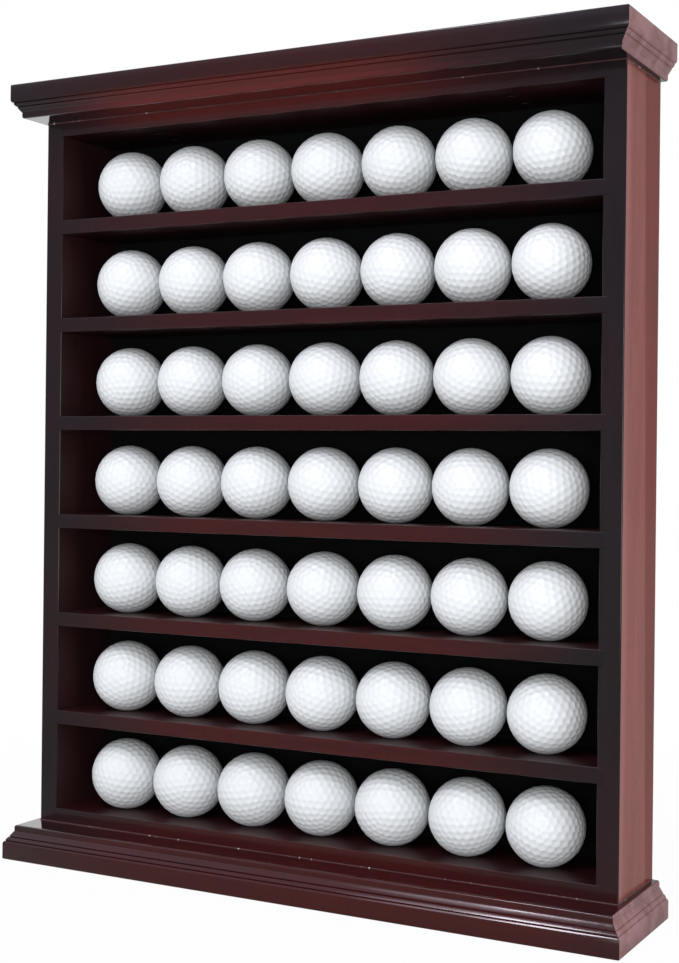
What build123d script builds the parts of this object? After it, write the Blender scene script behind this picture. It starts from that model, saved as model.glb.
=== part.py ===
from build123d import *
import math
import os

# Open-fronted wooden display case for golf balls.
# A carcass of two sides and a stack of thin boards stands between two thick boards, the crown and
# the base, whose front and side edges carry the same routed moulding, one the other way up.
# Rows of balls stand in shallow round seats in the boards, in front of a felt-covered back.
# Frame: millimetres, +Z up, the front faces -Y, origin at the middle of the underside.

# ---- driving dimensions -------------------------------------------------------------------------
# golf balls and the room round them
ball_diameter = 42.7
balls_per_row = 7
row_count = 7
ball_gap = 2.8              # between neighbours in a row
end_gap = 14.65             # between the last ball and the side
front_gap = 2.05            # from the boards' front edges back to the balls
back_gap = 7.95             # from the balls back to the felt
headroom = 8.8              # above a ball, under the next board
seat_depth = 0.6            # shallow dish that keeps a ball from rolling
seat_flare = 8.65           # how much larger the dish's radius is than the ball's
seat_clearance = 0.3        # between a ball and the bottom of its dish

# carcass
board_thickness = 8.5       # shelves, top panel and bottom panel
side_thickness = 12.0
housing_depth = 3.0         # how far the boards are let into the sides
felt_thickness = 0.8
back_thickness = 3.0
rabbet_width = 6.0          # step in the sides that takes the back panel
back_edge_gap = 0.25        # play round the back panel
edge_round = 0.5            # eased front edges

# crown and base boards
front_ledge = 20.0          # flat ledge in front of the carcass
side_ledge = 4.0            # flat ledge beside it

# their routed moulding, from the flat fascia to the upright lip under the ledge
fascia_height = 10.0
fascia_round = 0.7
quirk = 0.4                 # little flat steps either side of the bead
bead_height = 2.4
bead_depth = 1.5
bead_bulge = 0.55
cove_height = 3.9
cove_depth = 2.0
lip_height = 3.7
lip_round = 0.9             # eased edge where the lip meets the ledge

# brads through the sides into the boards' ends
brad_diameter = 1.2
brad_length = 25.0
brad_cover = 1.0            # filled wood over each brad's head
brad_margin = 13.0          # from a board's front and rear edges

# countersunk screws that hold the crown and base boards; heads are twice the shank's width
screw_diameter = 3.5
screw_sink = 0.3            # how far the heads lie below the wood
crown_screw_length = 24.0
crown_screw_margin = 16.7   # from the top panel's front and rear edges
crown_screw_end = 57.5      # from the sides' inner faces
base_screw_length = 42.0
base_screw_margin = 7.0     # from the front and rear of the carcass boards

# panel pins that hold the back
pin_diameter = 1.4
pin_length = 15.0
pin_head_diameter = 3.0
pin_head_thickness = 0.5
pin_head_room = 0.5         # the heads stay this far inside the rear edges
pin_end = 50.0              # outer pins of the top and bottom panels, from the sides' inner faces

# keyhole hangers let into the crown board's rear edge
hanger_width = 46.0
hanger_thickness = 1.5
hanger_rim = 2.0            # wood above and below the plate
hanger_end = 15.5           # from the end of the board's ledge
pocket_width = 12.0
pocket_depth = 8.0
pocket_rim = 1.0            # plate above and below the pocket behind it
keyhole_diameter = 8.0
keyhole_slot_width = 4.5
keyhole_rim = 0.5           # pocket above and below the keyhole
hanger_screw_diameter = 3.0
hanger_screw_length = 14.0
hanger_screw_end = 6.0      # from the plate's ends

# ---- sizes that follow --------------------------------------------------------------------------
ball_radius = ball_diameter / 2
ball_pitch = ball_diameter + ball_gap
inner_width = (balls_per_row - 1) * ball_pitch + ball_diameter + 2 * end_gap
board_depth = front_gap + ball_diameter + back_gap
row_pitch = ball_diameter + headroom + board_thickness
inner_x = inner_width / 2
outer_x = inner_x + side_thickness
housed_x = inner_x + housing_depth
back_recess = felt_thickness + back_thickness + pin_head_thickness + pin_head_room
carcass_height = row_count * row_pitch + board_thickness

bead_offset = fascia_round + quirk
moulding_depth = bead_offset + bead_depth + quirk + cove_depth
moulded_thickness = fascia_height + bead_height + cove_height + lip_height
ledge_x = outer_x + side_ledge
fascia_x = ledge_x + moulding_depth
overall_depth = moulding_depth + front_ledge + board_depth + back_recess

front_y = -overall_depth / 2
rear_y = overall_depth / 2
ledge_y = front_y + moulding_depth
carcass_y = ledge_y + front_ledge
felt_y = carcass_y + board_depth
panel_y = felt_y + felt_thickness
ball_y = carcass_y + front_gap + ball_radius
carcass_z = moulded_thickness
crown_z = carcass_z + carcass_height

hanger_x = ledge_x - hanger_end - hanger_width / 2
hanger_z = crown_z + moulded_thickness / 2
hanger_half_height = moulded_thickness / 2 - hanger_rim
pocket_half_height = hanger_half_height - pocket_rim
keyhole_radius = keyhole_diameter / 2
keyhole_slot_radius = keyhole_slot_width / 2
entry_z = hanger_z - pocket_half_height + keyhole_rim + keyhole_radius
slot_z = hanger_z + pocket_half_height - keyhole_rim - keyhole_slot_radius

BOTTOM = (Align.CENTER, Align.CENTER, Align.MIN)
UP = (0, 0, 1)
FORWARD = (0, -1, 0)


def board_z(index):
    """Underside of a carcass board: 0 is the bottom panel, row_count the top panel."""
    return carcass_z + index * row_pitch


def ball_x(column):
    return (column - (balls_per_row - 1) / 2) * ball_pitch


# ---- basic shapes -------------------------------------------------------------------------------
def block(x_range, y_range, z_range):
    """A box between three pairs of limits."""
    (x0, x1), (y0, y1), (z0, z1) = x_range, y_range, z_range
    corner = (Align.MIN, Align.MIN, Align.MIN)
    return Pos(x0, y0, z0) * Box(x1 - x0, y1 - y0, z1 - z0, align=corner)


def rod(start, direction, radius, length):
    """A round bar from a point, along a direction."""
    return Plane(origin=start, z_dir=direction) * Cylinder(radius, length, align=BOTTOM)


def countersunk_screw(start, direction, diameter, length):
    """A flat-headed screw whose head's face is centred on a point."""
    head_radius = diameter
    head_height = head_radius - diameter / 2
    head = Cone(head_radius, diameter / 2, head_height, align=BOTTOM)
    shank = Pos(0, 0, head_height) * Cylinder(diameter / 2, length - head_height, align=BOTTOM)
    return Plane(origin=start, z_dir=direction) * (head + shank)


def all_of(solids):
    """Separate solids kept side by side."""
    return Compound(children=list(solids))


# ---- crown and base boards ----------------------------------------------------------------------
def moulding_edges(place):
    """The moulding from the fascia's foot to the ledge; place turns (out, up) into a point."""
    def arc(start, end, bulge):
        (a, b), (c, d) = start, end
        span = math.hypot(c - a, d - b)
        middle = ((a + c) / 2 + (d - b) / span * bulge, (b + d) / 2 - (c - a) / span * bulge)
        return ThreePointArc(place(*start), place(*middle), place(*end))

    def rise(radius, start, end):
        """How far an arc of this radius stands off its chord."""
        return radius - math.sqrt(radius ** 2 - (math.dist(start, end) / 2) ** 2)

    fascia_top = (moulding_depth, fascia_height - fascia_round)
    round_end = (moulding_depth - fascia_round, fascia_height)
    bead_start = (moulding_depth - bead_offset, fascia_height)
    bead_end = (bead_start[0] - bead_depth, fascia_height + bead_height)
    cove_start = (bead_end[0] - quirk, bead_end[1])
    cove_end = (0.0, cove_start[1] + cove_height)
    lip_top = (0.0, moulded_thickness - lip_round)
    ledge_edge = (-lip_round, moulded_thickness)
    # the cove runs smoothly into the upright lip
    cove_radius = (cove_depth ** 2 + cove_height ** 2) / (2 * cove_depth)
    return [
        Line(place(moulding_depth, 0), place(*fascia_top)),
        arc(fascia_top, round_end, rise(fascia_round, fascia_top, round_end)),
        Line(place(*round_end), place(*bead_start)),
        arc(bead_start, bead_end, bead_bulge),
        Line(place(*bead_end), place(*cove_start)),
        arc(cove_start, cove_end, -rise(cove_radius, cove_start, cove_end)),
        Line(place(*cove_end), place(*lip_top)),
        arc(lip_top, ledge_edge, rise(lip_round, lip_top, ledge_edge)),
    ]


def moulded_board():
    """A board with the moulding on its front and both sides, ledge upwards, underside at Z 0."""
    flat_x = ledge_x - lip_round
    front_section = make_face([
        *moulding_edges(lambda out, up: (ledge_y - out, up)),
        Line((ledge_y + lip_round, moulded_thickness), (rear_y, moulded_thickness)),
        Line((rear_y, moulded_thickness), (rear_y, 0)),
        Line((rear_y, 0), (front_y, 0)),
    ])
    side_section = make_face([
        *moulding_edges(lambda out, up: (ledge_x + out, up)),
        Line((flat_x, moulded_thickness), (-flat_x, moulded_thickness)),
        *moulding_edges(lambda out, up: (-ledge_x - out, up)),
        Line((-fascia_x, 0), (fascia_x, 0)),
    ])
    along_x = Plane(origin=(-fascia_x, 0, 0), x_dir=(0, 1, 0), z_dir=(1, 0, 0))
    along_y = Plane(origin=(0, rear_y, 0), x_dir=(1, 0, 0), z_dir=FORWARD)
    lengthwise = extrude(along_x * front_section, 2 * fascia_x)
    crosswise = extrude(along_y * side_section, overall_depth)
    return lengthwise & crosswise


def base_board():
    return moulded_board() - all_of(base_screws()) - screw_recesses(base_screw_places())


def crown_board():
    board = Pos(0, 0, crown_z + moulded_thickness) * (Rot(0, 180, 0) * moulded_board())
    for x in (-hanger_x, hanger_x):
        board -= hanger_plate(x)
        board -= hanger_pocket(x)
    return board - all_of(crown_screws()) - all_of(hanger_screws())


# ---- carcass ------------------------------------------------------------------------------------
def side(sign):
    """An upright side; sign is -1 for the left and +1 for the right."""
    def across(near, far):
        return tuple(sorted((sign * near, sign * far)))

    panel = block(across(inner_x, outer_x), (carcass_y, rear_y), (carcass_z, crown_z))
    rabbet_x = inner_x + rabbet_width
    panel -= block(across(inner_x, rabbet_x), (felt_y, rear_y), (carcass_z, crown_z))
    panel = ease_front(panel, Axis.Z)
    for index in range(row_count + 1):
        housed_z = (board_z(index), board_z(index) + board_thickness)
        panel -= block(across(inner_x, housed_x), (carcass_y, felt_y), housed_z)
        panel -= all_of(brads(sign, index))
    screws = [screw for screw in base_screws() if screw.center().X * sign > 0]
    return panel - all_of(screws) - all_of(side_pins(sign))


def ease_front(solid, axis):
    """Round the long front edges that run along an axis."""
    edges = [e for e in solid.edges().filter_by(axis) if abs(e.center().Y - carcass_y) < 1e-6]
    return fillet(edges, edge_round)


def carcass_board(index):
    """A board housed in both sides, with its front edges eased."""
    z_range = (board_z(index), board_z(index) + board_thickness)
    board = ease_front(block((-housed_x, housed_x), (carcass_y, felt_y), z_range), Axis.X)
    return board - all_of(brads(-1, index) + brads(1, index)) - all_of(board_pins(index))


def seated_board(index):
    """A carcass board that carries a row of balls, with a dished seat for each."""
    board = carcass_board(index)
    seat_radius = ball_radius + seat_flare
    seat_z = board_z(index) + board_thickness - seat_depth + seat_radius
    for column in range(balls_per_row):
        board -= Pos(ball_x(column), ball_y, seat_z) * Sphere(seat_radius)
    return board


def top_panel():
    board = carcass_board(row_count) - all_of(crown_screws())
    return board - screw_recesses(crown_screw_places())


def behind_balls(y_range):
    """A sheet that fills the sides' rabbets, less its edge play and its pin holes."""
    half_width = inner_x + rabbet_width - back_edge_gap
    z_range = (carcass_z + back_edge_gap, crown_z - back_edge_gap)
    return block((-half_width, half_width), y_range, z_range) - all_of(back_pins())


def back_felt():
    return behind_balls((felt_y, panel_y))


def back_panel():
    return behind_balls((panel_y, panel_y + back_thickness))


# ---- brads, screws and pins ---------------------------------------------------------------------
def brads(sign, index):
    """Brads through one side into the end of one board."""
    start_x = sign * (outer_x - brad_cover)
    z = board_z(index) + board_thickness / 2
    return [
        rod((start_x, y, z), (-sign, 0, 0), brad_diameter / 2, brad_length)
        for y in (carcass_y + brad_margin, felt_y - brad_margin)
    ]


def side_brads(sign):
    return [brad for index in range(row_count + 1) for brad in brads(sign, index)]


def crown_screw_places():
    """Head centres in the top panel's underside."""
    z = crown_z - board_thickness + screw_sink
    return [
        (x, y, z)
        for x in (crown_screw_end - inner_x, inner_x - crown_screw_end)
        for y in (carcass_y + crown_screw_margin, felt_y - crown_screw_margin)
    ]


def base_screw_places():
    """Head centres in the base board's underside, below the unhoused part of each side."""
    x = (housed_x + outer_x) / 2
    return [
        (sign * x, y, screw_sink)
        for sign in (-1, 1)
        for y in (carcass_y + base_screw_margin, felt_y - base_screw_margin)
    ]


def crown_screws():
    return [
        countersunk_screw(place, UP, screw_diameter, crown_screw_length)
        for place in crown_screw_places()
    ]


def base_screws():
    return [
        countersunk_screw(place, UP, screw_diameter, base_screw_length)
        for place in base_screw_places()
    ]


def screw_recesses(places):
    """The short bores that leave the sunk heads in view."""
    return all_of(rod((x, y, z - screw_sink), UP, screw_diameter, screw_sink) for x, y, z in places)


def back_pin(x, z):
    """A flat-headed panel pin driven forwards through the back panel."""
    head_top = (x, panel_y + back_thickness + pin_head_thickness, z)
    head = rod(head_top, FORWARD, pin_head_diameter / 2, pin_head_thickness)
    return head + rod(head_top, FORWARD, pin_diameter / 2, pin_length)


def side_pins(sign):
    """Pins down one side, halfway between the boards."""
    half_gap = (row_pitch - board_thickness) / 2
    return [
        back_pin(sign * (inner_x + rabbet_width / 2), board_z(index) + board_thickness + half_gap)
        for index in range(row_count)
    ]


def board_pins(index):
    """One pin in each shelf, three in the top and bottom panels."""
    outermost = inner_x - pin_end
    places = (-outermost, 0, outermost) if index in (0, row_count) else (0,)
    return [back_pin(x, board_z(index) + board_thickness / 2) for x in places]


def back_pins():
    in_boards = [pin for index in range(row_count + 1) for pin in board_pins(index)]
    return side_pins(-1) + side_pins(1) + in_boards


# ---- hangers ------------------------------------------------------------------------------------
def hanger_plate(x):
    """The plate before its holes are cut."""
    return block((x - hanger_width / 2, x + hanger_width / 2), (rear_y - hanger_thickness, rear_y),
                 (hanger_z - hanger_half_height, hanger_z + hanger_half_height))


def hanger_pocket(x):
    """Room in the crown board for the head of a wall screw."""
    plate_y = rear_y - hanger_thickness
    return block((x - pocket_width / 2, x + pocket_width / 2), (plate_y - pocket_depth, plate_y),
                 (hanger_z - pocket_half_height, hanger_z + pocket_half_height))


def hanger(x):
    """A steel plate with a keyhole: a round entry with a narrow slot above it."""
    entry = rod((x, rear_y, entry_z), FORWARD, keyhole_radius, hanger_thickness)
    slot_end = rod((x, rear_y, slot_z), FORWARD, keyhole_slot_radius, hanger_thickness)
    slot = block((x - keyhole_slot_radius, x + keyhole_slot_radius),
                 (rear_y - hanger_thickness, rear_y), (entry_z, slot_z))
    return hanger_plate(x) - entry - slot_end - slot - all_of(hanger_screws())


def hanger_screws():
    half_span = hanger_width / 2 - hanger_screw_end
    return [
        countersunk_screw((centre + offset, rear_y, hanger_z), FORWARD,
                          hanger_screw_diameter, hanger_screw_length)
        for centre in (-hanger_x, hanger_x)
        for offset in (-half_span, half_span)
    ]


# ---- golf balls ---------------------------------------------------------------------------------
def ball_row(index):
    """The balls that stand on one board, each a separate solid."""
    z = board_z(index) + board_thickness - seat_depth + seat_clearance + ball_radius
    return all_of(
        Pos(ball_x(column), ball_y, z) * Sphere(ball_radius) for column in range(balls_per_row)
    )


# ---- the assembly -------------------------------------------------------------------------------
def assembly():
    """Every node of the case, by name. Shelves and rows of balls count from the top."""
    nodes = {
        "crown_board": crown_board(),
        "base_board": base_board(),
        "left_side": side(-1),
        "right_side": side(1),
        "top_panel": top_panel(),
        "bottom_panel": seated_board(0),
        "back_felt": back_felt(),
        "back_panel": back_panel(),
        "left_brads": all_of(side_brads(-1)),
        "right_brads": all_of(side_brads(1)),
        "crown_screws": all_of(crown_screws()),
        "base_screws": all_of(base_screws()),
        "back_pins": all_of(back_pins()),
        "left_hanger": hanger(-hanger_x),
        "right_hanger": hanger(hanger_x),
        "hanger_screws": all_of(hanger_screws()),
    }
    for number in range(1, row_count):
        nodes[f"shelf_{number}"] = seated_board(row_count - number)
    for number in range(1, row_count + 1):
        nodes[f"golf_balls_row_{number}"] = ball_row(row_count - number)
    return nodes


os.makedirs("parts", exist_ok=True)
for name, shape in assembly().items():
    export_step(shape, f"parts/{name}.step")
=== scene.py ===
# %% [markdown]
# # A display case for golf balls
#
# The case is a shallow wooden box with an open front, seven rows high. A crown board and a base
# board close it above and below, and carry the same routed moulding. The wood is stained a deep
# cherry red, shaded nearly black on its front edges and finished in gloss lacquer. A black felt
# lines the back.
#
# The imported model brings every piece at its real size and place. Here the pieces get their finish.
# Those whose look depends on fine shape are modelled again: the two moulded boards, the balls with
# their dimples, and the felt. The lacquer that has pooled along the joints is added.

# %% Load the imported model
import bmesh
import bpy
import math
import random
from mathutils import Matrix, Vector, kdtree, noise as field


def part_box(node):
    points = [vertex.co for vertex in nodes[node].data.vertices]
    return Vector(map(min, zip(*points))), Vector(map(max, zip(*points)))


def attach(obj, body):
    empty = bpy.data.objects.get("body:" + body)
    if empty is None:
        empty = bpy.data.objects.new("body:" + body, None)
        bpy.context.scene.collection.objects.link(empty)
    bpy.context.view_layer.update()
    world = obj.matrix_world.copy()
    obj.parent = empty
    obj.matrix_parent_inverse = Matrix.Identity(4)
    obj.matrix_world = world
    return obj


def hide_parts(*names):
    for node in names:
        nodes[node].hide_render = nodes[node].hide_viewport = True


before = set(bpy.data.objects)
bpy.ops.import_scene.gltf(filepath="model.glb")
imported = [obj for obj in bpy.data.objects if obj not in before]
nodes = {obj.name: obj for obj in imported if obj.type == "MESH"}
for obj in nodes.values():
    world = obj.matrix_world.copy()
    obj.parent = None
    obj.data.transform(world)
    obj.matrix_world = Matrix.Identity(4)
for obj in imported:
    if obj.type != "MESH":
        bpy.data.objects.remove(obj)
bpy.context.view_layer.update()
MM = 0.001

# %% [markdown]
# ## Where things are
#
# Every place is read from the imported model, so that nothing has to be fitted by eye. The few sizes
# it can't tell are those of the moulding, which is cut the same way on both boards.

# %% Measures of the case
side_low, side_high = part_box("right_side")
crown_low, crown_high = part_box("crown_board")
base_low, base_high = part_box("base_board")
felt_low, felt_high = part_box("back_felt")
SIDE_LEDGE = 4 * MM
OUTER_X = side_high[0]
CARCASS_Y = side_low[1]
REAR_Y = side_high[1]
LEDGE_X = OUTER_X + SIDE_LEDGE
MOULDING_DEPTH = base_high[0] - LEDGE_X
LEDGE_Y = base_low[1] + MOULDING_DEPTH
MOULDED_THICKNESS = base_high[2] - base_low[2]
CASE_TOP = crown_high[2]
print("carcass half width", OUTER_X, "moulding depth", MOULDING_DEPTH)


# %% [markdown]
# ## Helpers for shader trees
#
# A shader is a small tree of nodes. These helpers add one node each and link whatever arrives as a
# socket, so that a finish reads from top to bottom like a recipe.

# %% Helpers for shader trees
def put(tree, made, sockets):
    """Sets or links input sockets, named or numbered."""
    for name, value in sockets.items():
        if isinstance(value, bpy.types.NodeSocket):
            tree.links.new(value, made.inputs[name])
        else:
            made.inputs[name].default_value = value
    return made


def add(tree, kind, sockets=None, **settings):
    made = tree.nodes.new(kind)
    for name, value in settings.items():
        setattr(made, name, value)
    return put(tree, made, sockets or {})


def calculate(tree, operation, first, second=0.0, clamp=False):
    return add(tree, "ShaderNodeMath", {0: first, 1: second}, operation=operation,
               use_clamp=clamp).outputs[0]


def product(tree, *factors):
    result = factors[0]
    for factor in factors[1:]:
        result = calculate(tree, "MULTIPLY", result, factor)
    return result


def inverse(tree, mask):
    return calculate(tree, "SUBTRACT", 1.0, mask)


def mix_values(tree, mask, first, second):
    return add(tree, "ShaderNodeMix", {0: mask, 2: first, 3: second}).outputs[0]


def mix_colours(tree, mask, first, second):
    return add(tree, "ShaderNodeMix", {0: mask, 6: first, 7: second}, data_type="RGBA").outputs[2]


def stretch(tree, vector, factors):
    """A vector multiplied axis by axis; a small factor draws a pattern out along its axis."""
    return add(tree, "ShaderNodeVectorMath", {0: vector, 1: factors},
               operation="MULTIPLY").outputs[0]


def axes_of(tree, vector):
    parts = add(tree, "ShaderNodeSeparateXYZ", {"Vector": vector})
    return parts.outputs["X"], parts.outputs["Y"], parts.outputs["Z"]


def ramp(tree, value, start, end, low=0.0, high=1.0):
    """Turns start..end into low..high, smoothly and clamped."""
    return add(tree, "ShaderNodeMapRange", {"Value": value, "From Min": start, "From Max": end,
                                            "To Min": low, "To Max": high},
               interpolation_type="SMOOTHSTEP").outputs["Result"]


def noise(tree, vector, scale, detail=2.0, roughness=0.5, distortion=0.0):
    return add(tree, "ShaderNodeTexNoise",
               {"Vector": vector, "Scale": scale, "Detail": detail, "Roughness": roughness,
                "Distortion": distortion}).outputs["Fac"]


def new_group(name, takes, gives):
    """A shader group with named sockets."""
    tree = bpy.data.node_groups.new(name, "ShaderNodeTree")
    for socket, kind in takes:
        tree.interface.new_socket(socket, in_out="INPUT", socket_type="NodeSocket" + kind)
    for socket, kind in gives:
        tree.interface.new_socket(socket, in_out="OUTPUT", socket_type="NodeSocket" + kind)
    return tree, tree.nodes.new("NodeGroupInput").outputs, tree.nodes.new("NodeGroupOutput").inputs


def use_group(tree, group, sockets):
    made = tree.nodes.new("ShaderNodeGroup")
    made.node_tree = group
    return put(tree, made, sockets).outputs


def new_material(name, **constants):
    """A material with one Principled shader; constants go on the shader's own sockets."""
    material = bpy.data.materials.new(name)
    material.use_nodes = True
    tree = material.node_tree
    tree.nodes.clear()
    output = tree.nodes.new("ShaderNodeOutputMaterial")
    shader = tree.nodes.new("ShaderNodeBsdfPrincipled")
    tree.links.new(shader.outputs[0], output.inputs["Surface"])
    for socket, value in constants.items():
        shader.inputs[socket.replace("_", " ")].default_value = value
    place = add(tree, "ShaderNodeTexCoord").outputs["Object"]
    return material, tree, shader, place


def finish_with(obj, material):
    obj.data.materials.clear()
    obj.data.materials.append(material)


# %% [markdown]
# ## The camera
#
# The picture was taken from the right, at the height of the middle of the case and 0.9 m away from
# it. The camera's place was solved from the middles of the balls, because the size of a golf ball is
# known. It looks along its own axis, level but for a trace, and a small shift takes up the crop.

# %% Camera
CAMERA_PLACE = Vector((436.93, -789.39, 244.20)) * MM
CAMERA_TURN = math.radians(28.386)
CAMERA_TILT = math.radians(0.034)
CAMERA_ROLL = math.radians(0.617)
UPRIGHT = math.pi / 2
FOCAL_LENGTH = 59.171
SENSOR = 36.0
SHIFT = (0.00450, -0.02458)

camera_data = bpy.data.cameras.new("camera")
camera_data.sensor_width = SENSOR
camera_data.lens = FOCAL_LENGTH
camera_data.shift_x, camera_data.shift_y = SHIFT
camera_data.clip_start = 0.05
camera = bpy.data.objects.new("camera", camera_data)
bpy.context.scene.collection.objects.link(camera)
camera.matrix_world = (
    Matrix.Translation(CAMERA_PLACE)
    @ Matrix.Rotation(CAMERA_TURN, 4, "Z")
    @ Matrix.Rotation(UPRIGHT + CAMERA_TILT, 4, "X")
    @ Matrix.Rotation(CAMERA_ROLL, 4, "Z")
)
bpy.context.scene.camera = camera
print("camera", tuple(round(v, 3) for v in camera.location))

# %% [markdown]
# ## Floor, surroundings and lamps
#
# The case stands on white. To the camera the floor and the surroundings are simply white, and only
# close to the case a soft shadow stays. The light comes from the front, wide and even, with a broad
# low lamp beside the camera: it makes the balls nearly flat white, with their dimples showing at the
# rims.
#
# What the lacquer mirrors matters more than what lights it. The surroundings that it sees are a dim
# room in front, brighter higher up and to the left behind. A small lamp overhead, with a glow around
# it, draws the long highlights on the base. Light Path tells the three kinds of ray apart.

# %% Floor
FLOOR_SIZE = 12.0
FLOOR_WHITE = (0.82, 0.82, 0.82, 1)
FLOOR_SHOWN_WHITE = 0.96
SHADOW_REACH = (0.2, 0.7)
FLOOR_BEHIND = (-0.3, 0.5)
TO_THE_LEFT = (0.0, -0.5)
FLOOR_MIRRORED_FRONT = 0.29
FLOOR_MIRRORED_RIGHT = 0.30
FLOOR_MIRRORED_LEFT = 1.40

floor_mesh = bpy.data.meshes.new("floor")
bm = bmesh.new()
bmesh.ops.create_grid(bm, x_segments=1, y_segments=1, size=FLOOR_SIZE / 2)
bm.to_mesh(floor_mesh)
bm.free()
floor = bpy.data.objects.new("floor", floor_mesh)
bpy.context.scene.collection.objects.link(floor)

floor_paint = bpy.data.materials.new("floor_paint")
floor_paint.use_nodes = True
tree = floor_paint.node_tree
tree.nodes.clear()
floor_place = add(tree, "ShaderNodeTexCoord").outputs["Object"]
across, deep = axes_of(tree, floor_place)[:2]
away = add(tree, "ShaderNodeVectorMath", {0: floor_place}, operation="LENGTH").outputs["Value"]
rays = add(tree, "ShaderNodeLightPath").outputs
behind = ramp(tree, deep, *FLOOR_BEHIND)
left = ramp(tree, across, *TO_THE_LEFT)
mirrored_behind = mix_values(tree, left, FLOOR_MIRRORED_RIGHT, FLOOR_MIRRORED_LEFT)
mirrored = mix_values(tree, behind, FLOOR_MIRRORED_FRONT, mirrored_behind)
shown = ramp(tree, away, *SHADOW_REACH, FLOOR_SHOWN_WHITE, 1.0)
matt = add(tree, "ShaderNodeBsdfDiffuse", {"Color": FLOOR_WHITE}).outputs[0]
white = add(tree, "ShaderNodeEmission", {"Strength": 1.0}).outputs[0]
seen_in_gloss = add(tree, "ShaderNodeEmission", {"Strength": mirrored}).outputs[0]
plain = add(tree, "ShaderNodeMixShader",
            {0: product(tree, rays["Is Camera Ray"], shown), 1: matt, 2: white}).outputs[0]
mixed = add(tree, "ShaderNodeMixShader",
            {0: rays["Is Glossy Ray"], 1: plain, 2: seen_in_gloss}).outputs[0]
add(tree, "ShaderNodeOutputMaterial", {"Surface": mixed})
finish_with(floor, floor_paint)
print("floor", FLOOR_SIZE, "m square")

# %% Surroundings
FRONT_LIGHT = (0.9215, 0.9405, 0.95, 1)
REAR_LIGHT = 0.35
RIGHT_LIGHT = 0.95
TO_THE_RIGHT = (-0.2, 0.7)
TO_THE_FRONT = (0.35, -0.25)
UPWARDS = (0.25, 0.50)
MIRRORED_FRONT_LOW = (0.28, 0.27, 0.31, 1)
MIRRORED_FRONT_HIGH = (0.62, 0.60, 0.70, 1)
MIRRORED_REAR_RIGHT = (0.28, 0.27, 0.27, 1)
MIRRORED_REAR_LEFT = (1.20, 1.20, 1.20, 1)
GLOW = (3.9, 3.8, 4.3, 1)
GLOW_TOWARDS = Vector((-0.22, -0.55, 0.80)).normalized()
GLOW_REACH = (0.975, 0.998)

world = bpy.data.worlds.new("surroundings")
bpy.context.scene.world = world
world.use_nodes = True
tree = world.node_tree
tree.nodes.clear()
direction = add(tree, "ShaderNodeTexCoord").outputs["Generated"]
across, deep, up = axes_of(tree, direction)
in_front = ramp(tree, deep, *TO_THE_FRONT)
front_seen = mix_colours(tree, ramp(tree, up, *UPWARDS), MIRRORED_FRONT_LOW, MIRRORED_FRONT_HIGH)
behind_seen = mix_colours(tree, ramp(tree, across, *TO_THE_LEFT), MIRRORED_REAR_RIGHT,
                          MIRRORED_REAR_LEFT)
mirrored = mix_colours(tree, in_front, behind_seen, front_seen)
near_glow = add(tree, "ShaderNodeVectorMath", {0: direction, 1: GLOW_TOWARDS},
                operation="DOT_PRODUCT").outputs["Value"]
mirrored = mix_colours(tree, ramp(tree, near_glow, *GLOW_REACH), mirrored, GLOW)
rear = mix_values(tree, ramp(tree, across, *TO_THE_RIGHT), REAR_LIGHT, RIGHT_LIGHT)
rear_lit = add(tree, "ShaderNodeCombineColor", {0: rear, 1: rear, 2: rear}).outputs[0]
lit = mix_colours(tree, in_front, rear_lit, FRONT_LIGHT)
rays = add(tree, "ShaderNodeLightPath").outputs
unseen = mix_colours(tree, rays["Is Glossy Ray"], lit, mirrored)
colour = mix_colours(tree, rays["Is Camera Ray"], unseen, (1, 1, 1, 1))
sky = add(tree, "ShaderNodeBackground", {"Color": colour, "Strength": 1.0}).outputs[0]
add(tree, "ShaderNodeOutputWorld", {"Surface": sky})
print("light from the front", FRONT_LIGHT[:3], "from behind", REAR_LIGHT)


# %% Lamps
def lamp(name, place, aim, size, radiance, colour):
    """An area lamp of a given brightness; its power follows from its size."""
    data = bpy.data.lights.new(name, "AREA")
    data.shape = "RECTANGLE"
    data.size, data.size_y = size
    data.energy = radiance * math.pi * size[0] * size[1]
    data.color = colour
    made = bpy.data.objects.new(name, data)
    made.location = place
    made.rotation_euler = (Vector(aim) - Vector(place)).to_track_quat("-Z", "Y").to_euler()
    bpy.context.scene.collection.objects.link(made)
    return made


BASE_CORNER = (base_high[0], base_low[1], base_high[2])
CROWN_CORNER = (crown_high[0], crown_low[1], crown_low[2])
OVERHEAD_PLACE = (-0.05, -0.95, 1.32)
OVERHEAD_SIZE = (0.32, 0.28)
OVERHEAD_RADIANCE = 21.0
OVERHEAD_COLOUR = (0.93, 0.91, 1.0)
FRONT_PLACE = (0.72, -1.45, 0.22)
FRONT_SIZE = (0.8, 0.6)
FRONT_RADIANCE = 5.4
FRONT_COLOUR = (1.0, 1.0, 1.0)

lamp("overhead_lamp", OVERHEAD_PLACE, BASE_CORNER, OVERHEAD_SIZE, OVERHEAD_RADIANCE, OVERHEAD_COLOUR)
lamp("front_lamp", FRONT_PLACE, CROWN_CORNER, FRONT_SIZE, FRONT_RADIANCE, FRONT_COLOUR)
bpy.context.scene.view_settings.view_transform = "Standard"
print("lamps", [light.name for light in bpy.data.lights])

# %% [markdown]
# ## The grain of the wood
#
# Cherry has a quiet figure: long soft streaks, fine fibres and short dark pores. All three come from
# noise that is stretched along the grain. Because the noise fills the whole board, the ends of a
# board show the fibres cut across, as dots and pits, with nothing more to draw.
#
# The figure is a group, so the carcass boards place it with their own Mapping node, turned along
# their grain; the moulded boards use it unturned.

# %% Wood figure
STREAK_FACTORS = (5, 55, 55)
FIBRE_FACTORS = (22, 800, 800)
PORE_FACTORS = (160, 1900, 1900)

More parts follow.
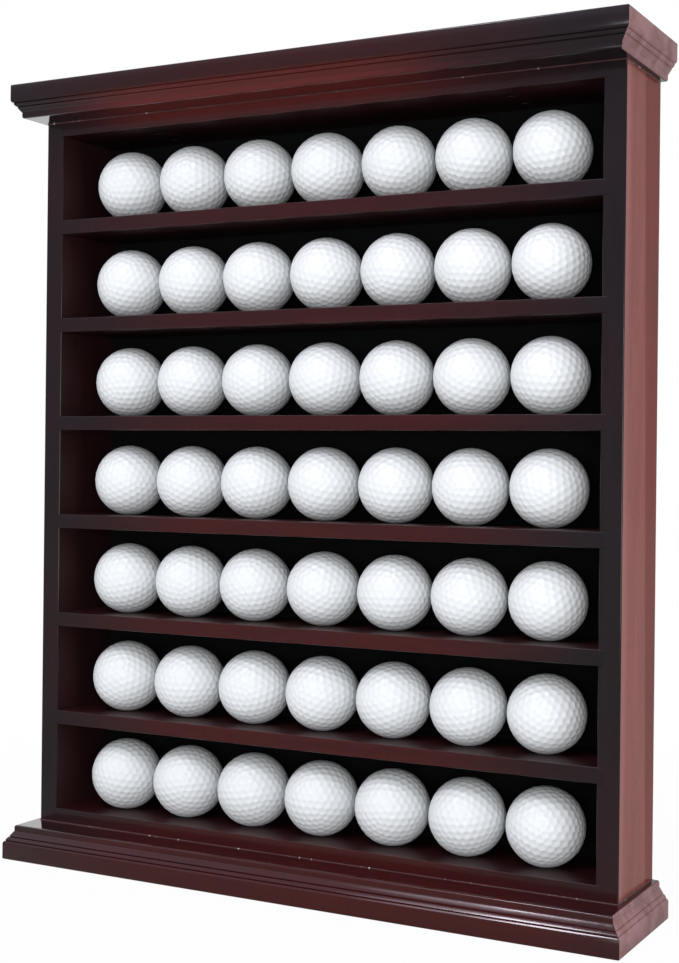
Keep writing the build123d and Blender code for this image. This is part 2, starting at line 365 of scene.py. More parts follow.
figure, taken, given = new_group("wood_figure", [("Vector", "Vector")],
                                 [("Tone", "Float"), ("Fibre", "Float"), ("Pores", "Float")])
along_grain = taken["Vector"]
streaks = noise(figure, stretch(figure, along_grain, STREAK_FACTORS), 1.0, 4.0, 0.55, 0.7)
fibres = noise(figure, stretch(figure, along_grain, FIBRE_FACTORS), 1.0, 3.0, 0.6)
pore_field = noise(figure, stretch(figure, along_grain, PORE_FACTORS), 1.0, 1.0)
figure.links.new(ramp(figure, streaks, 0.30, 0.70), given["Tone"])
figure.links.new(ramp(figure, fibres, 0.32, 0.68), given["Fibre"])
figure.links.new(ramp(figure, pore_field, 0.66, 0.74), given["Pores"])
print("figure gives", [socket.name for socket in given if socket.name])

# %% [markdown]
# ## How the colour was sprayed, and where light is painted
#
# Toner is sprayed over the stain after assembly, so it follows the case and not the boards. Three
# masks of the place describe it, and a fourth lays painted light:
#
# - Outside is 1 on the flat outer sides, where the stain shows through.
# - Front is 1 on the front edges and on the moulded boards.
# - Red is 1 where the toner is thin, in the middle and low down, and 0 where it is nearly black.
# - Painted light is 1 under the crown's overhang, a patch of painted reflected light.

# %% Spray pattern and painted light
EDGE_WRAP = (0.2 * MM, 0.9 * MM)
SKIN = (0.5 * MM, 0.1 * MM)
RED_MIDDLE = 0.06
RED_AT_SIDES = 0.08
RED_LOW = 1.05
RED_HIGH = 0.60
CLOUD_SHARE = 0.8
FOOT_LEVELS = (30 * MM, 15 * MM)
FOOT_RED = 0.5
# Under the crown's overhang, a patch of painted reflected light, lighter and redder than the toner:
PAINTED_LIGHT_FOOT = CASE_TOP - 32 * MM
PAINTED_LIGHT_FULL = CASE_TOP - 22 * MM
PAINTED_LIGHT_FADES = CASE_TOP - 12 * MM
PAINTED_LIGHT_END = CASE_TOP - 9 * MM
PAINTED_LIGHT_DEPTH = (0.01, 0.0)
PAINTED_LIGHT_RIGHT = (0.12, 0.03)
PAINTED_LIGHT_LEFT = (-0.17, -0.10)
PAINTED_LIGHT_SHARE = 0.6

spray_and_light, taken, given = new_group("spray_and_painted_light", [("Vector", "Vector")],
                                [("Outside", "Float"), ("Front", "Float"), ("Red", "Float"),
                                 ("Painted light", "Float")])
across, deep, up = axes_of(spray_and_light, taken["Vector"])
from_middle = calculate(spray_and_light, "ABSOLUTE", across)
behind_edge = ramp(spray_and_light, deep, CARCASS_Y + EDGE_WRAP[0], CARCASS_Y + EDGE_WRAP[1])
on_skin = ramp(spray_and_light, from_middle, OUTER_X - SKIN[0], OUTER_X - SKIN[1])
outside = product(spray_and_light, behind_edge, on_skin)
spread = ramp(spray_and_light, from_middle, RED_MIDDLE, OUTER_X, 1.0, RED_AT_SIDES)
height_share = ramp(spray_and_light, up, 0.0, CASE_TOP, RED_LOW, RED_HIGH)
clouds = product(spray_and_light, noise(spray_and_light, taken["Vector"], 9.0, 2.0), CLOUD_SHARE)
clouds = calculate(spray_and_light, "SUBTRACT", clouds, CLOUD_SHARE / 2)
red = product(spray_and_light, spread, height_share)
red = calculate(spray_and_light, "ADD", red, ramp(spray_and_light, up, *FOOT_LEVELS, 0.0, FOOT_RED))
red = calculate(spray_and_light, "ADD", red, clouds, clamp=True)
# Painted light: the patch of reflected light painted in under the crown's overhang.
painted_light = product(spray_and_light, ramp(spray_and_light, up, PAINTED_LIGHT_FOOT, PAINTED_LIGHT_FULL),
                    ramp(spray_and_light, up, PAINTED_LIGHT_END, PAINTED_LIGHT_FADES), ramp(spray_and_light, deep, *PAINTED_LIGHT_DEPTH),
                    ramp(spray_and_light, across, *PAINTED_LIGHT_RIGHT), ramp(spray_and_light, across, *PAINTED_LIGHT_LEFT),
                    PAINTED_LIGHT_SHARE)
spray_and_light.links.new(outside, given["Outside"])
spray_and_light.links.new(inverse(spray_and_light, behind_edge), given["Front"])
spray_and_light.links.new(red, given["Red"])
spray_and_light.links.new(painted_light, given["Painted light"])
print("spray pattern gives", [socket.name for socket in given if socket.name])

# %% [markdown]
# ## Lacquered wood
#
# The colour is mixed as the finisher would: stain, then fibres and pores, then toner. Painted shade
# darkens the inside and the rear of the outer sides, and painted light lies under the crown. The
# lacquer is glossy on the fronts and satin inside, with a faint ripple and pores that are not quite
# filled.
#
# On the outer sides the colour is lightest near the front edge. Behind a line that leans back a little
# as it rises, painted shade makes it darker and a deeper red.

# %% Lacquered wood
# Inside colours: the same red wood made far darker, as painted shade for the dim compartments.
INSIDE_SHADED_DARK = (0.019, 0.0026, 0.0032, 1)
INSIDE_SHADED_LIGHT = (0.033, 0.0047, 0.0056, 1)
FRONT_BLACK = (0.008, 0.0052, 0.0068, 1)
FRONT_RED = (0.050, 0.0058, 0.0056, 1)
# Painted reflected light under the crown's overhang:
PAINTED_LIGHT_UNDER_CROWN = (0.120, 0.016, 0.013, 1)
# Painted shade on the outer sides, behind the leaning line:
SIDE_PAINTED_SHADE = (0.210, 0.020, 0.012, 1)
SIDE_MIDDLE = (0.320, 0.082, 0.068, 1)
SIDE_EDGE = (0.390, 0.140, 0.125, 1)
END_DARK = (0.240, 0.115, 0.112, 1)
END_LIGHT = (0.370, 0.200, 0.205, 1)


SHADE_LEAN = 14 / 450
SHADE_Y = 29 * MM
FIBRE_SHARE = 0.30
FIBRE_SHADE = 0.6
PORE_SHARE = 0.6
PORE_SHADE = 0.3
GLOSS_ROUGHNESS = (0.10, 0.16)
IOR_OF_LACQUER = 1.5


def as_colour(value):
    return value if isinstance(value, bpy.types.NodeSocket) else [*value[:3], 1]


def darker(tree, colour, share):
    return add(tree, "ShaderNodeVectorMath", {0: colour, "Scale": share},
               operation="SCALE").outputs[0]


def grained(tree, grain, dark, light):
    """A stain that is light or dark with the figure, lined by fibres and dotted by pores."""
    stain_and_shade = mix_colours(tree, grain["Tone"], as_colour(dark), as_colour(light))
    lined = mix_colours(tree, product(tree, grain["Fibre"], FIBRE_SHARE), stain_and_shade,
                        darker(tree, stain_and_shade, FIBRE_SHADE))
    return mix_colours(tree, product(tree, grain["Pores"], PORE_SHARE), lined,
                       darker(tree, stain_and_shade, PORE_SHADE))


def lacquer(tree, shader, place, grain, gloss, dull):
    """Roughness from dull to glossy by the mask gloss, with the lacquer's ripple and open pores."""
    haze = noise(tree, place, 90.0, 3.0)
    roughness = mix_values(tree, gloss, dull, ramp(tree, haze, 0.3, 0.8, *GLOSS_ROUGHNESS))
    tree.links.new(roughness, shader.inputs["Roughness"])
    ripple = noise(tree, place, 380.0, 2.0)
    height = calculate(tree, "SUBTRACT", product(tree, ripple, 0.6),
                       product(tree, grain["Pores"], 0.5))
    bump = add(tree, "ShaderNodeBump", {"Strength": 0.25, "Distance": 0.05 * MM, "Height": height})
    tree.links.new(bump.outputs["Normal"], shader.inputs["Normal"])


def toned_front_and_painted_light(tree, grain, sprayed_and_light):
    black = grained(tree, grain, FRONT_BLACK, [1.3 * c for c in FRONT_BLACK])
    reddish = grained(tree, grain, [0.8 * c for c in FRONT_RED], FRONT_RED)
    front = mix_colours(tree, sprayed_and_light["Red"], black, reddish)
    # Under the crown's overhang the front takes the painted reflected light.
    return mix_colours(tree, sprayed_and_light["Painted light"], front, PAINTED_LIGHT_UNDER_CROWN)


def carcass_wood(name, grain_turn, grain_start, inner_roughness):
    """For sides, panels and shelves: stained outside with painted shade at the rear, toned on the
    front edge, painted shade inside.
    """
    material, tree, shader, place = new_material(name, IOR=IOR_OF_LACQUER)
    turned = add(tree, "ShaderNodeMapping", {"Vector": place, "Rotation": grain_turn,
                                             "Location": grain_start}).outputs[0]
    grain = use_group(tree, figure, {"Vector": turned})
    sprayed_and_light = use_group(tree, spray_and_light, {"Vector": place})
    # Painted shade: the inside of the case gets the darkened inside colours.
    inside_shaded = grained(tree, grain, INSIDE_SHADED_DARK, INSIDE_SHADED_LIGHT)
    deep, up = axes_of(tree, place)[1:]
    leaning = calculate(tree, "ADD", deep, product(tree, up, SHADE_LEAN))
    at_edge = ramp(tree, deep, CARCASS_Y + 13 * MM, CARCASS_Y + 1 * MM)
    # Painted shade: behind the leaning line the outer side turns darker and a deeper red.
    in_painted_shade = ramp(tree, leaning, SHADE_Y - 3 * MM, SHADE_Y + 2 * MM)
    stain_and_shade = mix_colours(tree, at_edge, SIDE_MIDDLE, SIDE_EDGE)
    stain_and_shade = mix_colours(tree, in_painted_shade, stain_and_shade, SIDE_PAINTED_SHADE)
    outside = grained(tree, grain, darker(tree, stain_and_shade, 0.82), stain_and_shade)
    front = toned_front_and_painted_light(tree, grain, sprayed_and_light)
    colour = mix_colours(tree, sprayed_and_light["Outside"], inside_shaded, outside)
    colour = mix_colours(tree, sprayed_and_light["Front"], colour, front)
    tree.links.new(colour, shader.inputs["Base Color"])
    gloss = calculate(tree, "ADD", sprayed_and_light["Front"], sprayed_and_light["Outside"], clamp=True)
    lacquer(tree, shader, place, grain, gloss, inner_roughness)
    return material


def moulded_wood(name, end_roughness):
    """For crown and base: toned on the front with painted reflected light under the crown, paler on
    the ends, where the grain is cut across.
    """
    material, tree, shader, place = new_material(name, IOR=IOR_OF_LACQUER)
    grain = use_group(tree, figure, {"Vector": place})
    sprayed_and_light = use_group(tree, spray_and_light, {"Vector": place})
    across, deep = axes_of(tree, place)[:2]
    past_ledge = calculate(tree, "SUBTRACT", calculate(tree, "ABSOLUTE", across), LEDGE_X)
    before_ledge = calculate(tree, "SUBTRACT", LEDGE_Y, deep)
    past_mitre = calculate(tree, "SUBTRACT", past_ledge, before_ledge)
    on_end = product(tree, ramp(tree, past_mitre, -0.1 * MM, 0.3 * MM),
                     ramp(tree, past_ledge, -0.9 * MM, -0.5 * MM))
    front = toned_front_and_painted_light(tree, grain, sprayed_and_light)
    colour = mix_colours(tree, on_end, front, grained(tree, grain, END_DARK, END_LIGHT))
    tree.links.new(colour, shader.inputs["Base Color"])
    lacquer(tree, shader, place, grain, ramp(tree, on_end, 0.0, 1.0, 1.0, 0.8), end_roughness)
    return material


ALONG_X = (0.0, 0.0, 0.0)
ALONG_Z = (0.0, math.pi / 2, 0.0)
wood_side = carcass_wood("cherry_side", ALONG_Z, (0.3, 0.1, 0.2), 0.60)
wood_board = carcass_wood("cherry_board", ALONG_X, (1.7, 0.4, 0.9), 0.36)
wood_moulded = moulded_wood("cherry_moulded", 0.42)
for name in ("left_side", "right_side"):
    finish_with(nodes[name], wood_side)
for name in nodes:
    if name.startswith("shelf_") or name in ("top_panel", "bottom_panel"):
        finish_with(nodes[name], wood_board)
print("materials", [m.name for m in bpy.data.materials])

# %% [markdown]
# ## The moulded boards
#
# The crown and the base are routed from solid boards. From the fascia a slope leans back to an
# upright lip, and two narrow quirks part it into a fillet, a flat bead and a shallow cove. The
# outline is climbed level by level: the underside is one face, and each step extrudes it upwards and
# draws it in by the moulding's next offset. The back stays flush, so the front corners come out
# mitred. A bevel takes the sharpness off the mitres.
#
# This was chosen over an outline that follows the board's edge, because it leaves no seam at the
# corners and the board is solid from the start.

# %% The moulding's outline
FOOT_ROUND = 0.8 * MM
FASCIA_HEIGHT = 9.8 * MM
LIP_FOOT = 16.3 * MM
LIP_SET_BACK = 0.3 * MM
LIP_ROUND = 1.2 * MM
QUIRK_WIDTH = 0.7 * MM
QUIRK_DEPTH = 0.55 * MM
QUIRK_HEIGHTS = (11.1 * MM, 13.4 * MM)
BEAD_CROWNING = 0.04 * MM
COVE_HOLLOW = 0.05 * MM
MITRE_BEVEL = 0.3 * MM
QUIRK_LEAN = 0.1 * MM
FASCIA_EASE = 0.3 * MM
LEAST_STEP = 0.02 * MM


def arc_between(start, end, bulge, steps):
    """Points after start on an arc that stands off the chord by bulge, to the outside if positive."""
    start, end = Vector(start), Vector(end)
    chord = end - start
    radius = (chord.length ** 2 / 4 + bulge ** 2) / (2 * abs(bulge))
    outward = Vector((chord.y, -chord.x)).normalized() * (1 if bulge > 0 else -1)
    centre = (start + end) / 2 + outward * (abs(bulge) - radius)
    first = start - centre
    whole = first.angle_signed(end - centre)
    points = []
    for step in range(1, steps + 1):
        turned = first.copy()
        turned.rotate(Matrix.Rotation(-whole * step / steps, 2))
        points.append(tuple(centre + turned))
    return points


def on_slope(height):
    """The slope's offset at a height, on the straight line from fascia to lip."""
    share = (height - FASCIA_HEIGHT) / (LIP_FOOT - FASCIA_HEIGHT)
    return MOULDING_DEPTH + share * (LIP_SET_BACK - MOULDING_DEPTH)


def moulding_outline():
    """(out, up) from the underside to the ledge, as offsets from the upright lip."""
    round_bulge = 1 - math.sqrt(0.5)
    outline = [(MOULDING_DEPTH - FOOT_ROUND, 0.0)]
    outline += arc_between(outline[0], (MOULDING_DEPTH, FOOT_ROUND), round_bulge * FOOT_ROUND, 4)
    outline.append((MOULDING_DEPTH, FASCIA_HEIGHT - FASCIA_EASE))
    eased = FASCIA_HEIGHT + FASCIA_EASE
    outline += arc_between(outline[-1], (on_slope(eased), eased), 0.02 * MM, 3)
    ends = (QUIRK_HEIGHTS[1] - QUIRK_WIDTH / 2, LIP_FOOT)
    for quirk, end, bulge in zip(QUIRK_HEIGHTS, ends, (BEAD_CROWNING, -COVE_HOLLOW)):
        edge, far_edge = quirk - QUIRK_WIDTH / 2, quirk + QUIRK_WIDTH / 2
        outline.append((on_slope(edge), edge))
        outline.append((on_slope(quirk) - QUIRK_DEPTH, quirk - QUIRK_LEAN))
        outline.append((on_slope(far_edge), far_edge))
        outline += arc_between(outline[-1], (on_slope(end), end), bulge, 6)
    clean = [outline[0]]
    for point in outline[1:]:
        if math.dist(point, clean[-1]) > LEAST_STEP:
            clean.append(point)
    clean.append((0.0, LIP_FOOT + 0.2 * MM))
    clean.append((0.0, MOULDED_THICKNESS - LIP_ROUND))
    clean += arc_between(clean[-1], (-LIP_ROUND, MOULDED_THICKNESS), round_bulge * LIP_ROUND, 6)
    return clean


print("outline points", len(moulding_outline()))


# %% Climbing the outline
def link_piece(name, bm, body="case"):
    mesh = bpy.data.meshes.new(name)
    bm.to_mesh(mesh)
    bm.free()
    piece = bpy.data.objects.new(name, mesh)
    bpy.context.scene.collection.objects.link(piece)
    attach(piece, body)
    return piece


def smooth_shade(piece, angle=25.0):
    piece.data.shade_smooth()
    piece.data.set_sharp_from_angle(angle=math.radians(angle))


def is_mitre(edge):
    """True for an edge that climbs the moulding at a front corner."""
    first, second = (v.co for v in edge.verts)
    in_front = max(first.y, second.y) < 0
    return in_front and abs(first.z - second.z) > 1e-7 and first.x * second.x > 0


def moulded_board():
    """The board with its ledge upwards and its underside at Z 0."""
    bm = bmesh.new()
    bmesh.ops.create_grid(bm, x_segments=1, y_segments=1, size=0.5)
    outline = moulding_outline()

    def plan(out):
        return 2 * (LEDGE_X + out), REAR_Y - LEDGE_Y + out

    width, depth = plan(outline[0][0])
    bmesh.ops.scale(bm, verts=bm.verts, vec=(width, depth, 1))
    bmesh.ops.translate(bm, verts=bm.verts, vec=(0, REAR_Y - depth / 2, 0))
    underside = bm.faces[:]
    top = underside
    height = 0.0
    for out, up in outline[1:]:
        climbed = bmesh.ops.extrude_face_region(bm, geom=top)["geom"]
        corners = [v for v in climbed if isinstance(v, bmesh.types.BMVert)]
        if top is not underside:
            bmesh.ops.delete(bm, geom=top, context="FACES_ONLY")
        top = [f for f in climbed if isinstance(f, bmesh.types.BMFace)]
        new_width, new_depth = plan(out)
        about_rear = Matrix.Translation((0, -REAR_Y, 0))
        bmesh.ops.scale(bm, verts=corners, space=about_rear,
                        vec=(new_width / width, new_depth / depth, 1))
        bmesh.ops.translate(bm, verts=corners, vec=(0, 0, up - height))
        width, depth, height = new_width, new_depth, up
    mitres = [e for e in bm.edges if is_mitre(e)]
    bmesh.ops.bevel(bm, geom=mitres, offset=MITRE_BEVEL, offset_type="OFFSET", segments=2,
                    profile=0.5, affect="EDGES", clamp_overlap=False, material=-1)
    bmesh.ops.recalc_face_normals(bm, faces=bm.faces)
    return bm


def check_closed(piece):
    """Prints how many edges are open, which has to be none, and how much wood there is."""
    bm = bmesh.new()
    bm.from_mesh(piece.data)
    open_edges = sum(1 for e in bm.edges if not e.is_manifold)
    print(piece.name, "faces", len(bm.faces), "open edges", open_edges, "volume",
          round(bm.calc_volume() * 1e6, 2), "ml")
    bm.free()


base = link_piece("base_moulded", moulded_board())
crown_mesh = moulded_board()
bmesh.ops.scale(crown_mesh, verts=crown_mesh.verts, vec=(1, 1, -1))
bmesh.ops.translate(crown_mesh, verts=crown_mesh.verts, vec=(0, 0, CASE_TOP))
bmesh.ops.recalc_face_normals(crown_mesh, faces=crown_mesh.faces)
crown = link_piece("crown_moulded", crown_mesh)

# %% [markdown]
# ## Recesses in the moulded boards
#
# The base is screwed to the sides from below, with countersunk heads, and the hangers are let into
# the crown's rear edge over a pocket for the nail. A Boolean takes each recess out of its board. A
# cutter reaches a little past the surface, so that no thin skin is left over the hole.

# %% Cutting
def cut(piece, cutter):
    """Takes the cutter's volume out of the piece."""
    mesh = bpy.data.meshes.new("cutter")
    cutter.to_mesh(mesh)
    cutter.free()
    tool = bpy.data.objects.new("cutter", mesh)
    bpy.context.scene.collection.objects.link(tool)
    modifier = piece.modifiers.new("cut", "BOOLEAN")
    modifier.object = tool
    modifier.solver = "EXACT"
    whole = bpy.context.evaluated_depsgraph_get()
    cut_mesh = bpy.data.meshes.new_from_object(piece.evaluated_get(whole))
    piece.modifiers.clear()
    piece.data = cut_mesh
    cut_mesh.name = piece.name
    bpy.data.objects.remove(tool)
    bpy.data.meshes.remove(mesh)


def add_block(bm, low, high):
    made = bmesh.ops.create_cube(bm, size=1)["verts"]
    size = [h - l for l, h in zip(low, high)]
    bmesh.ops.scale(bm, verts=made, vec=size)
    bmesh.ops.translate(bm, verts=made, vec=[(l + h) / 2 for l, h in zip(low, high)])


def add_cone(bm, x, y, levels, radii):
    """A round plug of 48 facets between two levels, wide below and narrow above."""
    bmesh.ops.create_cone(bm, cap_ends=True, segments=48, radius1=radii[0], radius2=radii[1],
                          depth=levels[1] - levels[0],
                          matrix=Matrix.Translation((x, y, (levels[0] + levels[1]) / 2)))


# %% Screw recesses in the base
SCREW_XS = (-180 * MM, 180 * MM)
SCREW_YS = (-9.25 * MM, 29.45 * MM)
HEAD_RADIUS = 3.5 * MM
HEAD_HEIGHT = 1.75 * MM
HEAD_SUNK = 0.3 * MM
CUTTER_START = -1.0 * MM

recesses = bmesh.new()
recess_radius = HEAD_RADIUS * 1.02
cone_end = HEAD_SUNK + HEAD_HEIGHT
for x in SCREW_XS:
    for y in SCREW_YS:
        add_cone(recesses, x, y, (CUTTER_START, HEAD_SUNK), (recess_radius, recess_radius))
        add_cone(recesses, x, y, (HEAD_SUNK, cone_end), (recess_radius, HEAD_RADIUS / 2))
bmesh.ops.remove_doubles(recesses, verts=recesses.verts, dist=1e-6)
cut(base, recesses)

# %% Mortises and pockets in the crown
HANGERS = ("left_hanger", "right_hanger")
POCKET_HALF_WIDTH = 6 * MM
POCKET_YS = (31.75 * MM, 39.85 * MM)
POCKET_ZS = (451.5 * MM, 465.5 * MM)

mortises = bmesh.new()
for hanger in HANGERS:
    low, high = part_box(hanger)
    add_block(mortises, low, (high[0], high[1] + 1 * MM, high[2]))
cut(crown, mortises)
pockets = bmesh.new()
for hanger in HANGERS:
    low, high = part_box(hanger)
    middle = (low[0] + high[0]) / 2
    add_block(pockets, (middle - POCKET_HALF_WIDTH, POCKET_YS[0], POCKET_ZS[0]),
              (middle + POCKET_HALF_WIDTH, POCKET_YS[1], POCKET_ZS[1]))
cut(crown, pockets)

# %% Finish on the moulded boards
for piece, node in ((base, "base_board"), (crown, "crown_board")):
    smooth_shade(piece)
    finish_with(piece, wood_moulded)
    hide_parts(node)
    check_closed(piece)

# %% [markdown]
# ## Lacquer in the joints
#
# Where the carcass meets a ledge, the lacquer has pooled in the corner and dried as a thin uneven
# bead that catches the light, with specks of filler dust in it. The bead is a grid whose rows run
# along the joint and whose columns go round its small section, welded into a tube.

# %% Lacquer beads
BEAD_STEP = 4 * MM
BEAD_SIZE = (0.35 * MM, 0.65 * MM)
BEAD_SECTION = ((0, 0), (1, 0), (0.42, 0.14), (0.14, 0.42), (0, 1), (0, 0))
BEAD_WAVES = 60


def joint_stations():
    """Points along the carcass' outline, from one rear corner round the front to the other."""
    depth_steps = round((REAR_Y - CARCASS_Y) / BEAD_STEP)
    width_steps = round(2 * OUTER_X / BEAD_STEP)
    left = [(-OUTER_X, REAR_Y + (CARCASS_Y - REAR_Y) * i / depth_steps) for i in range(depth_steps)]
    front = [(-OUTER_X + 2 * OUTER_X * i / width_steps, CARCASS_Y) for i in range(width_steps + 1)]
    return left + front + [(OUTER_X, y) for x, y in reversed(left)]


def lacquer_bead(name, level, upwards):
    stations = joint_stations()
    section = len(BEAD_SECTION)
    bm = bmesh.new()
    bmesh.ops.create_grid(bm, x_segments=section - 1, y_segments=len(stations) - 1, size=1)
    bm.verts.ensure_lookup_table()
    for index, v in enumerate(bm.verts):
        x, y = stations[index // section]
        wave = 0.5 + 0.5 * field.noise(Vector((x, y, level)) * BEAD_WAVES)
        size = BEAD_SIZE[0] + (BEAD_SIZE[1] - BEAD_SIZE[0]) * wave
        out, rise = (size * part for part in BEAD_SECTION[index % section])
        on_side, on_front = abs(x) == OUTER_X, y == CARCASS_Y
        v.co = (x + math.copysign(out, x) * on_side, y - out * on_front, level + upwards * rise)
    bmesh.ops.remove_doubles(bm, verts=bm.verts, dist=1e-7)
    bmesh.ops.holes_fill(bm, edges=[e for e in bm.edges if e.is_boundary], sides=0)
    bmesh.ops.recalc_face_normals(bm, faces=bm.faces)
    piece = link_piece(name, bm)
    smooth_shade(piece, 60)
    check_closed(piece)
    return piece


# %% Pooled lacquer
POOLED_DARK = (0.02, 0.005, 0.006, 1)
POOLED_LIGHT = (0.10, 0.04, 0.04, 1)
DUST = (0.55, 0.50, 0.48, 1)

bead_finish, tree, shader, place = new_material("pooled_lacquer", IOR=IOR_OF_LACQUER)
dust = ramp(tree, noise(tree, place, 420.0, 2.0), 0.66, 0.72)
tint = mix_colours(tree, noise(tree, place, 120.0, 2.0), POOLED_DARK, POOLED_LIGHT)
tree.links.new(mix_colours(tree, dust, tint, DUST), shader.inputs["Base Color"])
tree.links.new(mix_values(tree, dust, 0.12, 0.6), shader.inputs["Roughness"])
for name, level, upwards in (("base_joint_lacquer", base_high[2], 1),
                             ("crown_joint_lacquer", crown_low[2], -1)):
    finish_with(lacquer_bead(name, level, upwards), bead_finish)

# %% [markdown]
# ## Eased edges
#
# The boards' edges were rubbed over before finishing, so they catch a thin line of light. A Bevel
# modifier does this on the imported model's own solids, at corners sharper than its limit angle.

# %% Eased edges
EASE_WIDTH = 0.3 * MM
EASE_FROM_ANGLE = math.radians(50)

for name in nodes:
    if name.startswith("shelf_") or name in ("top_panel", "bottom_panel"):
        eased = nodes[name].modifiers.new("eased_edges", "BEVEL")
        eased.width = EASE_WIDTH
        eased.segments = 2
        eased.limit_method = "ANGLE"
        eased.angle_limit = EASE_FROM_ANGLE
        print("eased", name)

# %% [markdown]
# ## The golf balls
#
# A real ball has a few hundred dimples in a pattern built on an icosahedron. The same pattern comes
# from an icosahedron whose edges are cut into six: each point of that net is the middle of a dimple.
# Cutting every edge by six again gives a fine sphere, and each of its points is pressed in by its
# distance from the nearest dimple's middle. Every ball is turned its own way, as they would be when
# placed by hand.

# %% A dimpled ball
DIMPLE_CUTS = 6
FINE_CUTS = 5
DIMPLE_RADIUS = 2.05 * MM
DIMPLE_DEPTH = 0.42 * MM
BALLS_IN_ROW = 7
ROWS = 7


def round_up(bm, radius):
    for v in bm.verts:
        v.co = v.co.normalized() * radius


def dimpled_ball(radius):
    bm = bmesh.new()
    bmesh.ops.create_icosphere(bm, subdivisions=1, radius=radius)
    bmesh.ops.subdivide_edges(bm, edges=bm.edges, cuts=DIMPLE_CUTS - 1, use_grid_fill=True)
    round_up(bm, radius)
    middles = kdtree.KDTree(len(bm.verts))
    for index, v in enumerate(bm.verts):
        middles.insert(v.co, index)
    middles.balance()
    dimples = len(bm.verts)
    bmesh.ops.subdivide_edges(bm, edges=bm.edges, cuts=FINE_CUTS, use_grid_fill=True)
    round_up(bm, radius)
    for v in bm.verts:
        away = middles.find(v.co)[2] / DIMPLE_RADIUS
        if away < 1:
            v.co -= v.co.normalized() * DIMPLE_DEPTH * (1 - away ** 2)
    return bm, dimples


def ball_row(name, node, body, seed):
    """A row of balls in the place of the solids, each ball turned at random."""
    low, high = (Vector(corner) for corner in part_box(node))
    radius = (high.z - low.z) / 2
    pitch = (high.x - low.x - 2 * radius) / (BALLS_IN_ROW - 1)
    turns = random.Random(seed)
    row = bmesh.new()
    master, dimples = dimpled_ball(radius)
    pattern = bpy.data.meshes.new("ball_pattern")
    master.to_mesh(pattern)
    master.free()
    for column in range(BALLS_IN_ROW):
        before = len(row.verts)
        row.from_mesh(pattern)
        row.verts.ensure_lookup_table()
        angle = turns.uniform(0, math.tau)
        axis = Vector([turns.uniform(-1, 1) for _ in range(3)]).normalized()
        bmesh.ops.transform(row, matrix=Matrix.Rotation(angle, 4, axis), verts=row.verts[before:])
        middle = (low.x + radius + column * pitch, (low.y + high.y) / 2, (low.z + high.z) / 2)
        bmesh.ops.translate(row, vec=middle, verts=row.verts[before:])
    bpy.data.meshes.remove(pattern)
    piece = link_piece(name, row, body)
    piece.data.shade_smooth()
    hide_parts(node)
    return piece, dimples


# %% [markdown]
# ## The balls' cover
#
# A painted cover is a clean, slightly bluish white with a soft gloss. Its brightness stays below
# paper white, so that the lamps don't burn the dimples out. Faint clouds keep it from looking flat.

# %% Ball cover
COVER_DARK = (0.745, 0.768, 0.786, 1)
COVER_LIGHT = (0.770, 0.793, 0.811, 1)
COVER_ROUGHNESS = (0.30, 0.40)

cover, tree, shader, place = new_material("ball_cover", IOR=1.45)
cloud = noise(tree, place, 60.0, 3.0)
tree.links.new(mix_colours(tree, cloud, COVER_DARK, COVER_LIGHT), shader.inputs["Base Color"])
tree.links.new(ramp(tree, cloud, 0.3, 0.7, *COVER_ROUGHNESS), shader.inputs["Roughness"])
grit = add(tree, "ShaderNodeBump", {"Strength": 0.1, "Distance": 0.02 * MM,
                                    "Height": noise(tree, place, 2500.0, 2.0)})
tree.links.new(grit.outputs["Normal"], shader.inputs["Normal"])

# %% Rows of balls
for number in range(1, ROWS + 1):
    row, dimples = ball_row(f"dimpled_balls_{number}", f"golf_balls_row_{number}",
                            f"ball_row_{number}", number)
    finish_with(row, cover)
print("dimples on a ball", dimples, "faces in a row", len(row.data.polygons))

# %% [markdown]
# ## The felt
#
# The felt is a thin sheet of black wool, glued to a hardboard panel. It lies a little uneven where
# the glue is thicker. Close up it is a mat of fibres that swallow the light, with a faint cool bloom
# where they catch it. It is modelled as a closed sheet: a grid gives the front, extruding it gives the
# thickness, and noise moves the front alone.

# %% Felt sheet
FELT_UNEVENNESS = 0.15 * MM
FELT_CELL = 5 * MM
FELT_WAVES = 40
felt_width = felt_high[0] - felt_low[0]
felt_height = felt_high[2] - felt_low[2]
felt_thickness = felt_high[1] - felt_low[1]

bm = bmesh.new()
bmesh.ops.create_grid(bm, x_segments=round(felt_width / FELT_CELL),
                      y_segments=round(felt_height / FELT_CELL), size=0.5)
bmesh.ops.scale(bm, verts=bm.verts, vec=(felt_width, felt_height, 1))
bmesh.ops.rotate(bm, verts=bm.verts, matrix=Matrix.Rotation(UPRIGHT, 3, "X"))
bmesh.ops.translate(bm, verts=bm.verts, vec=((felt_low[0] + felt_high[0]) / 2, felt_low[1],
                                             (felt_low[2] + felt_high[2]) / 2))
front_faces = bm.faces[:]
backed = bmesh.ops.extrude_face_region(bm, geom=front_faces)["geom"]
rear_verts = [v for v in backed if isinstance(v, bmesh.types.BMVert)]
bmesh.ops.translate(bm, verts=rear_verts, vec=(0, felt_thickness, 0))
for v in bm.verts:
    if v not in rear_verts:
        v.co.y += FELT_UNEVENNESS * (0.5 + 0.5 * field.noise(v.co * FELT_WAVES))
bmesh.ops.recalc_face_normals(bm, faces=bm.faces)
felt = link_piece("felt_sheet", bm)
smooth_shade(felt, 40)
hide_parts("back_felt")
check_closed(felt)

# %% Black felt
FELT_DARK = (0.0006, 0.0007, 0.0008, 1)
FELT_BLOOM = (0.0030, 0.0040, 0.0040, 1)

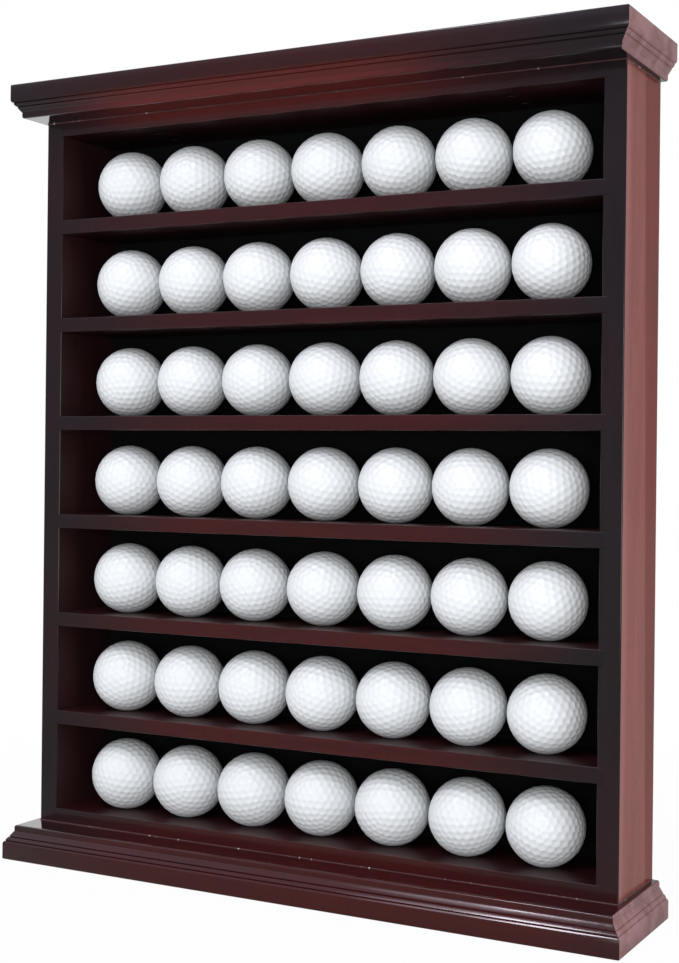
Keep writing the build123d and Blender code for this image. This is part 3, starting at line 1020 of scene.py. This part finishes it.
felt_finish, tree, shader, place = new_material("black_felt", Roughness=0.95, Sheen_Weight=0.08,
                                                Sheen_Roughness=0.5, Specular_IOR_Level=0.2)
fuzz = noise(tree, place, 1800.0, 4.0, 0.65)
patches = noise(tree, place, 40.0, 3.0)
shade = product(tree, fuzz, calculate(tree, "ADD", product(tree, patches, 0.6), 0.6))
tree.links.new(mix_colours(tree, shade, FELT_DARK, FELT_BLOOM), shader.inputs["Base Color"])
nap = add(tree, "ShaderNodeBump", {"Strength": 0.6, "Distance": 0.2 * MM, "Height": fuzz})
tree.links.new(nap.outputs["Normal"], shader.inputs["Normal"])
finish_with(felt, felt_finish)
print("felt", round(felt_width / MM, 1), "by", round(felt_height / MM, 1), "mm")

# %% [markdown]
# ## Hardboard and steel
#
# The back panel is plain brown hardboard, a felted mat of wood fibre. The brads, pins, hangers and
# hanger screws are bright plated steel, and so are the base screws. The crown screws sit in the
# ceiling of the top row; they are coloured nearly black as painted shade, to keep them out of sight.

# %% Hardboard and steel
BOARD_DARK = (0.13, 0.07, 0.035, 1)
BOARD_LIGHT = (0.30, 0.18, 0.10, 1)
STEEL_ROUGHNESS = (0.28, 0.45)

board_finish, tree, shader, place = new_material("hardboard", Roughness=0.8)
fleck = noise(tree, place, 900.0, 4.0, 0.6)
tree.links.new(mix_colours(tree, fleck, BOARD_DARK, BOARD_LIGHT), shader.inputs["Base Color"])
felted = add(tree, "ShaderNodeBump", {"Strength": 0.4, "Distance": 0.1 * MM, "Height": fleck})
tree.links.new(felted.outputs["Normal"], shader.inputs["Normal"])
finish_with(nodes["back_panel"], board_finish)


def steel_finish(name, dark, light):
    material, tree, shader, place = new_material(name, Metallic=1.0)
    cloud = noise(tree, place, 300.0, 3.0)
    tree.links.new(mix_colours(tree, cloud, dark, light), shader.inputs["Base Color"])
    tree.links.new(ramp(tree, cloud, 0.3, 0.7, *STEEL_ROUGHNESS), shader.inputs["Roughness"])
    return material


steel = steel_finish("plated_steel", (0.42, 0.41, 0.38, 1), (0.60, 0.59, 0.54, 1))
# Nearly black steel for the crown screws, as painted shade in the dark ceiling of the top row.
shade_black_steel = steel_finish("steel_black_as_shade", (0.02, 0.02, 0.022, 1), (0.05, 0.048, 0.05, 1))
for name in ("left_brads", "right_brads", "base_screws", "back_pins", "left_hanger",
             "right_hanger", "hanger_screws"):
    finish_with(nodes[name], steel)
# The crown screws take the painted shade.
finish_with(nodes["crown_screws"], shade_black_steel)
print("steel on", steel.users + shade_black_steel.users, "pieces")
